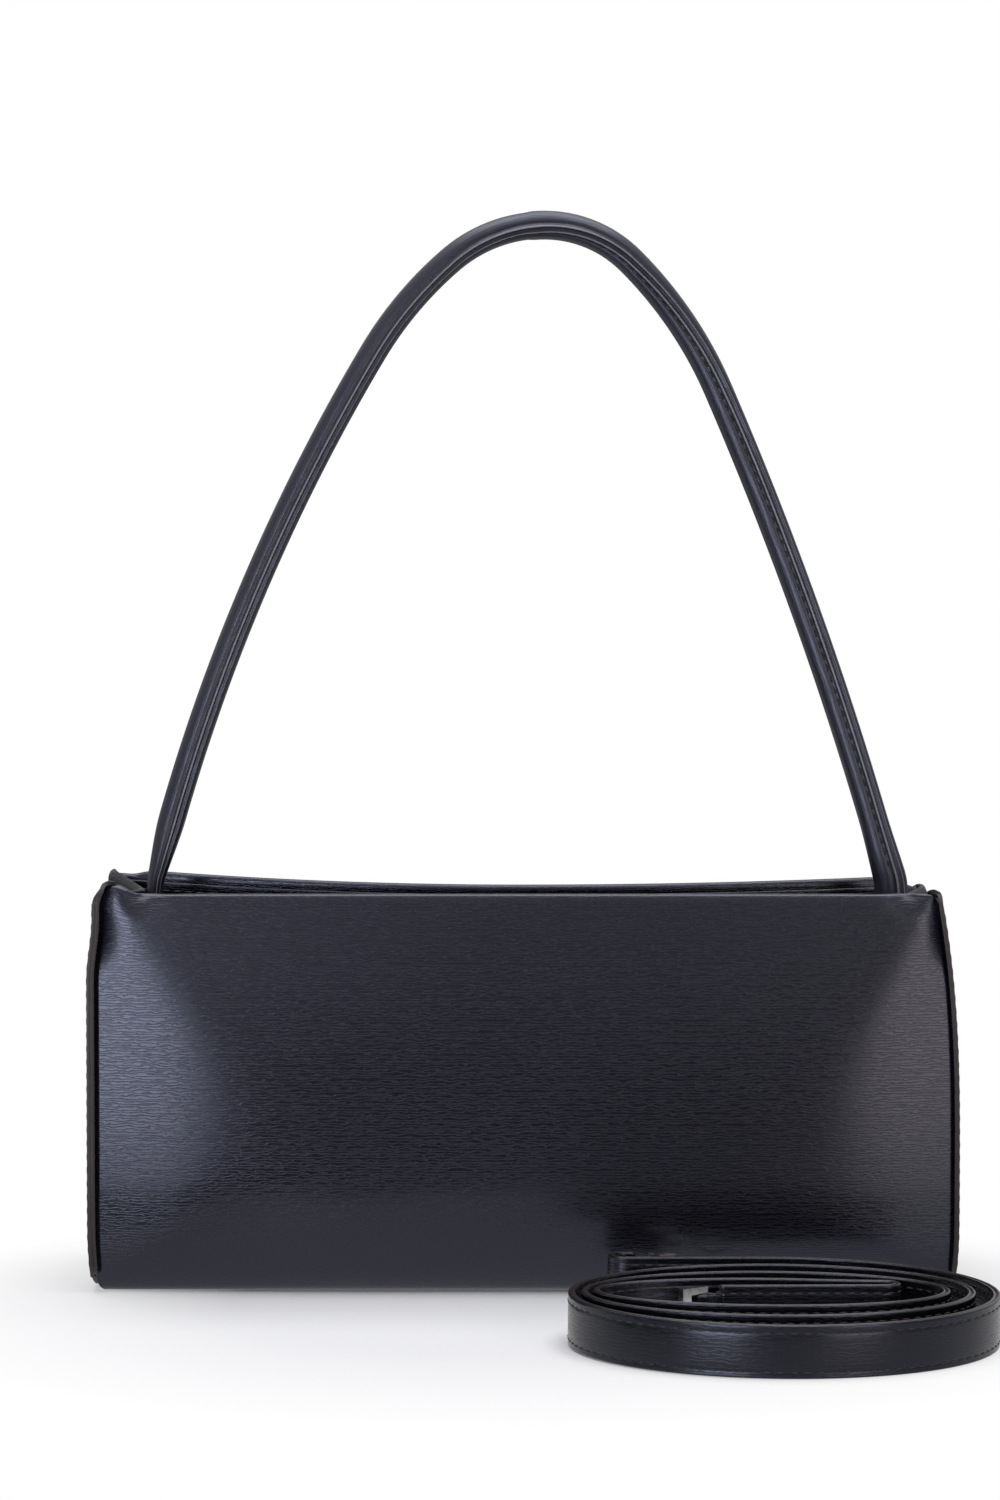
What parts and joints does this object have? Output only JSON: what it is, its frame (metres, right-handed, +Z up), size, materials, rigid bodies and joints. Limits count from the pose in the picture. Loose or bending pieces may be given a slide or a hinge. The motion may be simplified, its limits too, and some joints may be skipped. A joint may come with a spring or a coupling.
{
  "type": "baguette bag",
  "caption": "Slim open-topped shoulder bag in black grained leather with tucked sides, a rolled arch handle and a coiled clip-on strap.",
  "frame": {"origin": "middle of the bag's bottom, on the surface it stands on", "axes": "+X along the bag to its right end seen from the front, the front faces -Y, +Z up"},
  "size_m": [0.2652, 0.203, 0.3269],
  "materials": {
    "leather": "grained, satin",
    "strap_leather": "grained, satin",
    "lining": "woven",
    "board": "matt board",
    "core": "twisted cord",
    "nickel": "polished",
    "steel": "plain"
  },
  "bodies": {
    "bag": {"outer_wrap": "leather", "left_gusset": "leather", "right_gusset": "leather", "facing_front": "leather", "facing_back": "leather", "stiffener_front": "board", "stiffener_back": "board", "base_board": "board", "lining_wrap": "lining", "lining_left": "lining", "lining_right": "lining", "slip_pocket": "lining", "snap_post": "nickel", "snap_socket": "nickel", "snap_post_washer": "steel", "snap_socket_washer": "steel", "handle_tab_left": "leather", "handle_tab_right": "leather", "ring_tab_left": "leather", "ring_tab_right": "leather"},
    "handle": {"handle_cover": "leather", "handle_core": "core"},
    "left_ring": {"d_ring_left": "nickel"},
    "right_ring": {"d_ring_right": "nickel"},
    "strap": {"strap_band": "strap_leather", "inner_strap_loop": "strap_leather", "outer_strap_loop": "strap_leather", "inner_clasp_eye": "nickel", "outer_clasp_eye": "nickel"},
    "inner_hook": {"inner_clasp_hook": "nickel", "inner_clasp_pin": "steel", "inner_clasp_spring": "steel"},
    "inner_gate": {"inner_clasp_gate": "nickel"},
    "outer_hook": {"outer_clasp_hook": "nickel", "outer_clasp_pin": "steel", "outer_clasp_spring": "steel"},
    "outer_gate": {"outer_clasp_gate": "nickel"}
  },
  "joints": [
    {"name": "handle_swing", "type": "hinge", "parent": "bag", "child": "handle", "pos_m": [0, 0, 0.1222], "axis": [1, 0, 0], "range_deg": [-80, 80]},
    {"name": "left_ring_swing", "type": "hinge", "parent": "bag", "child": "left_ring", "pos_m": [-0.11297, 0, 0.096], "axis": [0, -1, 0], "range_deg": [0, 140]},
    {"name": "right_ring_swing", "type": "hinge", "parent": "bag", "child": "right_ring", "pos_m": [0.11297, 0, 0.096], "axis": [0, 1, 0], "range_deg": [0, 140]},
    {"name": "strap_lift", "type": "slide", "parent": "bag", "child": "strap", "axis": [0, 0, 1], "range_m": [0, 0.1]},
    {"name": "inner_swivel", "type": "hinge", "parent": "strap", "child": "inner_hook", "pos_m": [0.052, -0.10308, 0.0075], "axis": [-0.8192, -0.5736, 0], "continuous": true},
    {"name": "inner_gate_open", "type": "hinge", "parent": "inner_hook", "child": "inner_gate", "pos_m": [0.04037, -0.10757, 0.0075], "axis": [0, 0, 1], "range_deg": [0, 18], "stiffness_Nm_per_rad": 0.02, "deforming": ["inner_clasp_spring"]},
    {"name": "outer_swivel", "type": "hinge", "parent": "strap", "child": "outer_hook", "pos_m": [0.039, -0.0485, 0.0075], "axis": [1, 0, 0], "continuous": true},
    {"name": "outer_gate_open", "type": "hinge", "parent": "outer_hook", "child": "outer_gate", "pos_m": [0.0511, -0.0515, 0.0075], "axis": [0, 0, 1], "range_deg": [0, 18], "stiffness_Nm_per_rad": 0.02, "deforming": ["outer_clasp_spring"]}
  ]
}
